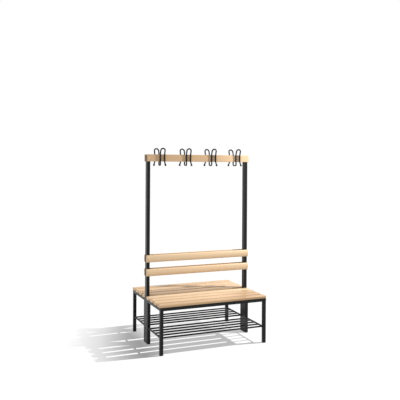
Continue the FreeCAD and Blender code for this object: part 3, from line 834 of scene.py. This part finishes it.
@dataclass
class Weld:
    """A fillet weld: a thin rippled bead that runs along a line of points and tapers at its ends."""

    radius: float = 1.7 * MM
    ripple_pitch: float = 1.6 * MM
    ripple_share: float = 0.12
    tip_share: float = 0.35
    tip_points: int = 3
    sides: int = 8

    def add(self, draft: Draft, path: Sequence[Vector], closed: bool = False) -> None:
        """Add the bead to a draft.

        Args:
            draft: Takes the bead.
            path: Points along the bead, close together.
            closed: Whether the bead runs round a whole rod.
        """
        rings = []
        count = len(path)
        run = 0.0
        for index, point in enumerate(path):
            before = path[index - 1] if index or closed else point
            after = path[(index + 1) % count] if index < count - 1 or closed else point
            heading = (after - before).normalized()
            across = heading.orthogonal().normalized()
            upward = heading.cross(across)
            run += (point - before).length if index else 0.0
            from_tip = min(index, count - 1 - index)
            taper = 1.0 if closed else min(1.0, self.tip_share + from_tip / self.tip_points)
            reach = self.radius * taper * (
                1 + self.ripple_share * math.sin(math.tau * run / self.ripple_pitch))
            ring = []
            for step in range(self.sides):
                angle = math.tau * step / self.sides
                ring.append(point + reach * (math.cos(angle) * across + math.sin(angle) * upward))
            rings.append(ring)
        draft.loft(rings, closed=closed)


@dataclass
class SteelWork:
    """The welds that join the tubes of the seat frames and the rods of the shoe racks."""

    weld: Weld = field(default_factory=Weld)
    weld_step: float = 0.5 * MM
    long_rods: int = 5
    rod_margin: float = 8 * MM
    rod_weld_points: int = 72
    least_saddle: float = 0.3

    def frame_welds(self, steel: Material) -> None:
        """Weld each leg under its corner, and the inside of each mitre.

        Args:
            steel: The frame's finish.
        """
        inset = self.weld.radius
        for side in Side:
            draft = Draft()
            for end in End:
                tube_low, tube_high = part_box("end_tube_%s_%s" % (side.word, end.word))
                for kind in ("outer", "inner"):
                    low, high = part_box("%s_leg_%s_%s" % (kind, side.word, end.word))
                    rail_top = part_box("%s_rail_%s" % (kind, side.word))[1].z
                    inward_y = 1 if tube_low.y + tube_high.y > low.y + high.y else -1
                    near_x, far_x = (high.x, low.x) if end is End.LEFT else (low.x, high.x)
                    near_y, far_y = (high.y, low.y) if inward_y > 0 else (low.y, high.y)
                    under_corner = (Vector((near_x, far_y + inward_y * inset, high.z)),
                                    Vector((near_x, near_y, high.z)),
                                    Vector((far_x + end.value * inset, near_y, high.z)))
                    inside_mitre = (Vector((near_x, near_y, high.z + inset)),
                                    Vector((near_x, near_y, rail_top - inset)))
                    for corners in (under_corner, inside_mitre):
                        self.weld.add(draft, points_along(corners, self.weld_step))
            draft.piece("seat_frame_welds_" + side.word, steel, Slot.FRAME_STEEL)

    def rack_welds(self, steel: Material) -> None:
        """Weld each long rod of a rack to the end rods.

        Args:
            steel: The rack's finish.
        """
        for side in Side:
            draft = Draft()
            low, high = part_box("shoe_rack_" + side.word)
            radius = (high.z - low.z) / 2
            leg_faces = sorted(corner.y for kind in ("outer", "inner")
                               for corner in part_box("%s_leg_%s_left" % (kind, side.word)))
            first, last = leg_faces[1] + self.rod_margin, leg_faces[2] - self.rod_margin
            for rod in range(self.long_rods):
                y = first + (last - first) * rod / (self.long_rods - 1)
                for end_x, inward in ((low.x + radius, 1), (high.x - radius, -1)):
                    path = []
                    for step in range(self.rod_weld_points):
                        angle = math.tau * step / self.rod_weld_points
                        rise = radius * math.sin(angle)
                        saddle = math.sqrt(max(radius ** 2 - rise ** 2, (self.least_saddle * radius) ** 2))
                        path.append(Vector((end_x + inward * saddle, y + radius * math.cos(angle),
                                            (low.z + high.z) / 2 + rise)))
                    self.weld.add(draft, path, closed=True)
            draft.piece("shoe_rack_welds_" + side.word, steel, Slot.FRAME_STEEL)

    def build(self, finishes: Finishes) -> None:
        """Make the welds.

        Args:
            finishes: The bench's materials.
        """
        steel = finishes.by_slot[Slot.FRAME_STEEL]
        self.frame_welds(steel)
        self.rack_welds(steel)


@dataclass
class DomedBolt:
    """A bolt or screw with a domed head and a recess for its key."""

    head_radius: float
    head_height: float
    dome: float
    recess: Outline
    recess_depth: float
    shank_radius: float
    shank_length: float
    ease: float = 0.5 * MM
    dome_steps: int = 6

    def levels(self) -> list[tuple[float, Outline]]:
        """Outlines from the shank's end over the head to the bottom of the recess.

        Returns:
            Distances from the head's underside, away from the shank, with outlines.
        """
        levels = [(-self.shank_length, circle_outline(self.shank_radius)),
                  (0.0, circle_outline(self.shank_radius)),
                  (0.0, circle_outline(self.head_radius - self.ease)),
                  (self.ease, circle_outline(self.head_radius))]
        rim = max(math.hypot(a, b) for a, b in self.recess) + self.ease
        for step in range(self.dome_steps + 1):
            angle = QUARTER_TURN * step / self.dome_steps
            reach = rim + (self.head_radius - rim) * math.cos(angle)
            levels.append((self.head_height - self.dome + self.dome * math.sin(angle), circle_outline(reach)))
        levels.append((self.head_height, self.recess))
        levels.append((self.head_height - self.recess_depth, self.recess))
        return levels


@dataclass
class Fasteners:
    """Column bolts and cap nuts and the screws under the seats, with their recesses."""

    bolt_head: float = 5 * MM
    bolt_shank_radius: float = 4 * MM
    bolt_dome_share: float = 0.75
    bolt_radius_share: float = 0.75
    socket_flats: float = 5 * MM
    socket_depth: float = 2.6 * MM
    nut_flats: float = 13 * MM
    nut_height: float = 5.5 * MM
    nut_ease: float = 0.5 * MM
    cap_radius_share: float = 0.44
    cap_steps: int = 6
    cap_angle: float = math.radians(88)
    screw_radius: float = 5 * MM
    screw_dome_share: float = 0.7
    screw_shank_radius: float = 2.5 * MM
    recess_radius: float = 2.4 * MM
    recess_depth: float = 1.8 * MM
    recess_lobes: int = 6
    recess_lobe_depth: float = 0.14

    def cap_nut_levels(self, cap: float) -> list[tuple[float, Outline]]:
        """Outlines from a cap nut's seat to the top of its cap.

        Args:
            cap: How far the cap stands over the hexagon.

        Returns:
            Distances from the seat, with outlines.
        """
        chamfered = circle_outline(self.nut_flats / 2)
        hexagon = hexagon_outline(self.nut_flats)
        levels = [(0.0, chamfered), (self.nut_ease, hexagon),
                  (self.nut_height - self.nut_ease, hexagon), (self.nut_height, chamfered)]
        for step in range(self.cap_steps + 1):
            angle = self.cap_angle * step / self.cap_steps
            levels.append((self.nut_height + cap * math.sin(angle),
                           circle_outline(self.nut_flats * self.cap_radius_share * math.cos(angle))))
        return levels

    def column_bolts(self, steel: Material) -> None:
        """Make the bolts through the columns, heads to the front, coated like the frame.

        Args:
            steel: Their finish.
        """
        low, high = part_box("column_bolts")
        nut_low, nut_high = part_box("column_cap_nuts")
        radius = (nut_high.y - nut_low.y) * self.bolt_radius_share
        bolt = DomedBolt(radius, self.bolt_head, self.bolt_head * self.bolt_dome_share,
                         hexagon_outline(self.socket_flats), self.socket_depth, self.bolt_shank_radius,
                         high.y - low.y - self.bolt_head).levels()
        cap_nut = self.cap_nut_levels(nut_high.y - nut_low.y - self.nut_height)
        bolts, nuts = Draft(), Draft()
        for x in (low.x + radius, high.x - radius):
            for z in (low.z + radius, high.z - radius):
                under_head = Vector((x, low.y + self.bolt_head, z))
                bolts.loft(rings_along(Axis.Y, -1, under_head, bolt))
                nuts.loft(rings_along(Axis.Y, 1, Vector((x, nut_low.y, z)), cap_nut))
        bolts.piece("column_bolt_set", steel, Slot.FRAME_STEEL, ["column_bolts"])
        nuts.piece("cap_nut_set", steel, Slot.FRAME_STEEL, ["column_cap_nuts"])

    def seat_screws(self, zinc: Material) -> None:
        """Make the screws that hold the seat slats from below.

        Args:
            zinc: Their finish.
        """
        draft = Draft()
        low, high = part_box("seat_slat_screws")
        seat_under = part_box("end_tube_front_left")[0].z
        head = seat_under - low.z
        recess = polar_outline(lambda angle: self.recess_radius * (
            1 + self.recess_lobe_depth * math.cos(self.recess_lobes * angle)))
        screw = DomedBolt(self.screw_radius, head, head * self.screw_dome_share, recess, self.recess_depth,
                          self.screw_shank_radius, high.z - seat_under).levels()
        for x in (low.x + self.screw_radius, high.x - self.screw_radius):
            for side in Side:
                for number in SEAT_SLATS:
                    slat_low, slat_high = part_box("%s_seat_slat_%d" % (side.word, number))
                    under_head = Vector((x, (slat_low.y + slat_high.y) / 2, seat_under))
                    draft.loft(rings_along(Axis.Z, -1, under_head, screw))
        draft.piece("seat_screw_set", zinc, Slot.ZINC_STEEL, ["seat_slat_screws"])

    def build(self, finishes: Finishes) -> None:
        """Make all fasteners that can be seen.

        Args:
            finishes: The bench's materials.
        """
        self.column_bolts(finishes.by_slot[Slot.FRAME_STEEL])
        self.seat_screws(finishes.by_slot[Slot.ZINC_STEEL])


@dataclass
class Studio:
    """A pale floor and surround, plain light from the right, and the photograph's camera.

    The bench and the floor have a key lamp each, a few centimetres apart.  The floor itself
    glows as much as its key falls short of white, so that it is evenly white where the key
    reaches it and neutral grey where the bench shades it.
    """

    camera_place: tuple[float, float, float] = (-2.0620, -4.8828, 1.5573)
    yaw_degrees: float = 23.079
    roll_degrees: float = 0.317
    focal_pixels: float = 583.684
    horizon_pixel: float = 165.18
    picture_pixels: float = 400.0
    sensor_mm: float = 36.0
    view_depth: float = 100.0
    floor_half: float = 14.0
    surround: str = "#FFFFFF"
    ambient: float = 0.40
    key_place: tuple[float, float, float] = (1.78, -0.66, 2.27)
    key_watts: float = 236.0
    key_radius: float = 0.06
    fill_place: tuple[float, float, float] = (-2.6, -2.2, 2.8)
    fill_aim: tuple[float, float, float] = (0.0, 0.0, 0.6)
    fill_watts: float = 30.0
    fill_size: float = 2.0
    floor_key_place: tuple[float, float, float] = (1.82, -0.59, 2.26)
    floor_key_radius: float = 0.03
    floor_key: float = 0.66
    floor_tint: float = 0.04
    floor_fall: float = 3.0
    white_level: float = 1.02
    bounce_share: float = 0.62
    share_reach: tuple[float, float] = (2.0, 4.0)
    share_stops: Stops = ((0.0, 0.82), (0.58, 0.8), (0.66, 1.06), (0.7, 0.94), (0.79, 0.42), (0.92, 0.0))
    covered_x: tuple[float, float] = (-0.55, -0.38)
    covered_y: tuple[float, float] = (0.0, 0.2)
    covered_share: float = 0.4

    def camera(self) -> None:
        """Set up the camera with the view worked out from the photograph's own lines."""
        data = bpy.data.cameras.new("camera")
        data.sensor_width = self.sensor_mm
        data.lens = self.focal_pixels / self.picture_pixels * self.sensor_mm
        data.shift_y = (self.horizon_pixel - self.picture_pixels / 2) / self.picture_pixels
        data.clip_end = self.view_depth
        camera = bpy.data.objects.new("camera", data)
        turn = Matrix.Rotation(math.radians(-self.yaw_degrees), 4, "Z")
        level = Matrix.Rotation(QUARTER_TURN, 4, "X")
        roll = Matrix.Rotation(math.radians(self.roll_degrees), 4, "Z")
        camera.matrix_world = Matrix.Translation(self.camera_place) @ turn @ level @ roll
        bpy.context.scene.collection.objects.link(camera)
        bpy.context.scene.camera = camera

    def floor_share(self, tree: Tree, reach: Socket) -> Socket:
        """How strong the key is on the floor, so that the shadow fades away from the bench.

        Args:
            tree: The node tree that takes the nodes.
            reach: The distance from the floor's key in metres.

        Returns:
            A share of the floor's key.
        """
        near, far = self.share_reach
        along = add_node(tree, "ShaderNodeMapRange", {"Value": reach, "From Min": near, "From Max": far})
        share = add_node(tree, "ShaderNodeValToRGB", {"Fac": along.outputs[0]}, self.share_stops)
        return share.outputs["Color"]

    def kept_shadow(self, tree: Tree, place: Socket) -> Socket:
        """How much of its shadow the floor keeps: less behind the racks, where hardly any shows.

        Args:
            tree: The node tree that takes the nodes.
            place: The place on the floor.

        Returns:
            A share of the shadow, 0 to 1.
        """
        axes = add_node(tree, "ShaderNodeSeparateXYZ", {0: place})
        beside, behind = (
            add_node(tree, "ShaderNodeMapRange", {
                "Value": axes.outputs[axis], "From Min": start, "From Max": end}).outputs[0]
            for axis, (start, end) in (("X", self.covered_x), ("Y", self.covered_y)))
        covered = add_node(tree, "ShaderNodeMath", {0: beside, 1: behind}, operation="MULTIPLY")
        keep = add_node(tree, "ShaderNodeMapRange", {
            "Value": covered.outputs[0], "To Min": 1.0, "To Max": self.covered_share})
        return keep.outputs[0]

    def floor(self) -> bpy.types.Object:
        """Lay the pale floor, white to the camera except where the bench shades it.

        Returns:
            The floor.
        """
        half = self.floor_half
        mesh = bpy.data.meshes.new("floor")
        mesh.from_pydata([(-half, -half, 0), (half, -half, 0), (half, half, 0), (-half, half, 0)], [],
                         [(0, 1, 2, 3)])
        material, tree = new_material("pale_floor")
        place = add_node(tree, "ShaderNodeTexCoord").outputs["Object"]
        reach = add_node(tree, "ShaderNodeVectorMath", {0: place, 1: self.floor_key_place},
                         operation="DISTANCE")
        keep = self.kept_shadow(tree, place)
        level = add_node(tree, "ShaderNodeMapRange", {
            "Value": whether_seen(tree), "To Min": self.bounce_share, "To Max": 1.0})
        key = self.floor_share(tree, reach.outputs["Value"])
        tint = level.outputs[0]
        for factor in (self.floor_key, keep):
            key = add_node(tree, "ShaderNodeMath", {0: key, 1: factor}, operation="MULTIPLY").outputs[0]
        for factor in (self.floor_tint, keep):
            tint = add_node(tree, "ShaderNodeMath", {0: tint, 1: factor}, operation="MULTIPLY").outputs[0]
        shade = add_node(tree, "ShaderNodeMath", {0: self.white_level, 1: key}, operation="SUBTRACT")
        glow = add_node(tree, "ShaderNodeMath", {0: shade.outputs[0], 1: level.outputs[0]},
                        operation="MULTIPLY")
        bright = add_node(tree, "ShaderNodeEmission", {"Strength": glow.outputs[0]})
        matt = add_node(tree, "ShaderNodeBsdfDiffuse", {"Color": tint})
        both = add_node(tree, "ShaderNodeAddShader", {0: bright.outputs[0], 1: matt.outputs[0]})
        add_node(tree, "ShaderNodeOutputMaterial", {"Surface": both.outputs[0]})
        mesh.materials.append(material)
        floor = bpy.data.objects.new("floor", mesh)
        bpy.context.scene.collection.objects.link(floor)
        return floor

    def world(self) -> None:
        """Set an even pale surround, white to the eye and dimmer as a light."""
        world = bpy.data.worlds.new("studio")
        world.use_nodes = True
        tree = world.node_tree
        tree.nodes.clear()
        strength = add_node(tree, "ShaderNodeMapRange", {
            "Value": whether_seen(tree), "To Min": self.ambient, "To Max": 1.0})
        background = add_node(tree, "ShaderNodeBackground", {
            "Color": linear(self.surround), "Strength": strength.outputs[0]})
        add_node(tree, "ShaderNodeOutputWorld", {"Surface": background.outputs[0]})
        bpy.context.scene.world = world

    def lamp(self, name: str, place: Sequence[float], watts: float, radius: float = 0.0,
             size: float = 0.0) -> bpy.types.Object:
        """Hang a round lamp, or a square softbox that points at the bench and isn't seen in gloss.

        Args:
            name: The lamp's name.
            place: Where it hangs.
            watts: Its power.
            radius: The round lamp's radius.
            size: The softbox's side; left out for a round lamp.

        Returns:
            The lamp.
        """
        data = bpy.data.lights.new(name, "AREA" if size else "POINT")
        data.energy = watts
        lamp = bpy.data.objects.new(name, data)
        lamp.location = place
        if size:
            data.size = size
            aim = Vector(self.fill_aim) - Vector(place)
            lamp.rotation_euler = aim.to_track_quat("-Z", "Y").to_euler()
            lamp.visible_glossy = False
        else:
            data.shadow_soft_size = radius
        lamp.visible_camera = False
        bpy.context.scene.collection.objects.link(lamp)
        return lamp

    def lights(self, floor: bpy.types.Object) -> None:
        """Hang the lamps: a key and a soft fill for the bench, and the floor's own key.

        The floor's key grows with distance as fast as a lamp's light on a floor falls, once for
        the slant and twice for the spread, so that only the floor's share shapes it.

        Args:
            floor: The floor.
        """
        floor_only = bpy.data.collections.new("lit_by_floor_key")
        floor_only.objects.link(floor)
        all_but_floor = bpy.data.collections.new("not_lit_by_bench_lamps")
        all_but_floor.objects.link(floor)
        all_but_floor.collection_objects[0].light_linking.link_state = "EXCLUDE"
        key = self.lamp("key", self.key_place, self.key_watts, radius=self.key_radius)
        fill = self.lamp("left_fill", self.fill_place, self.fill_watts, size=self.fill_size)
        for lamp in (key, fill):
            lamp.light_linking.receiver_collection = all_but_floor
        height = self.floor_key_place[2]
        floor_watts = self.floor_key / self.floor_tint * (2 * math.pi * height) ** 2
        floor_key = self.lamp("floor_key", self.floor_key_place, floor_watts, radius=self.floor_key_radius)
        floor_key.light_linking.receiver_collection = floor_only
        floor_key.data.use_nodes = True
        tree = floor_key.data.node_tree
        tree.nodes.clear()
        reach = add_node(tree, "ShaderNodeLightPath").outputs["Ray Length"]
        heights = add_node(tree, "ShaderNodeMath", {0: reach, 1: height}, operation="DIVIDE")
        growth = add_node(tree, "ShaderNodeMath", {0: heights.outputs[0], 1: self.floor_fall},
                          operation="POWER")
        strength = add_node(tree, "ShaderNodeMath", {
            0: growth.outputs[0], 1: self.floor_share(tree, reach)}, operation="MULTIPLY")
        light = add_node(tree, "ShaderNodeEmission", {"Strength": strength.outputs[0]})
        add_node(tree, "ShaderNodeOutputLight", {"Surface": light.outputs[0]})

    def build(self) -> None:
        """Set up the stage."""
        self.camera()
        floor = self.floor()
        self.world()
        self.lights(floor)


@dataclass
class Bench:
    """The whole bench: finishes first, then woodwork, steelwork and fasteners."""

    finishes: Finishes = field(default_factory=Finishes)
    woodwork: SlatWork = field(default_factory=SlatWork)
    steelwork: SteelWork = field(default_factory=SteelWork)
    fasteners: Fasteners = field(default_factory=Fasteners)

    def dress_model(self) -> None:
        """Give each node of the model the finish of its slot."""
        slots = {entry["node"]: Slot(entry["material_slot"]) for entry in frame["record"]["subparts"]}
        for name, node in frame["nodes"].items():
            node.data.materials.clear()
            node.data.materials.append(self.finishes.by_slot[slots[name]])
            log.info("%s: %s", name, slots[name].value)

    def build(self) -> None:
        """Build the bench in order."""
        self.finishes.build()
        self.dress_model()
        self.woodwork.build(self.finishes)
        self.steelwork.build(self.finishes)
        self.fasteners.build(self.finishes)


def main() -> None:
    """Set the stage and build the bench."""
    Studio().build()
    Bench().build()
    bpy.context.scene.view_settings.view_transform = "Standard"
    bpy.context.view_layer.update()


if __name__ == "__main__":
    main()
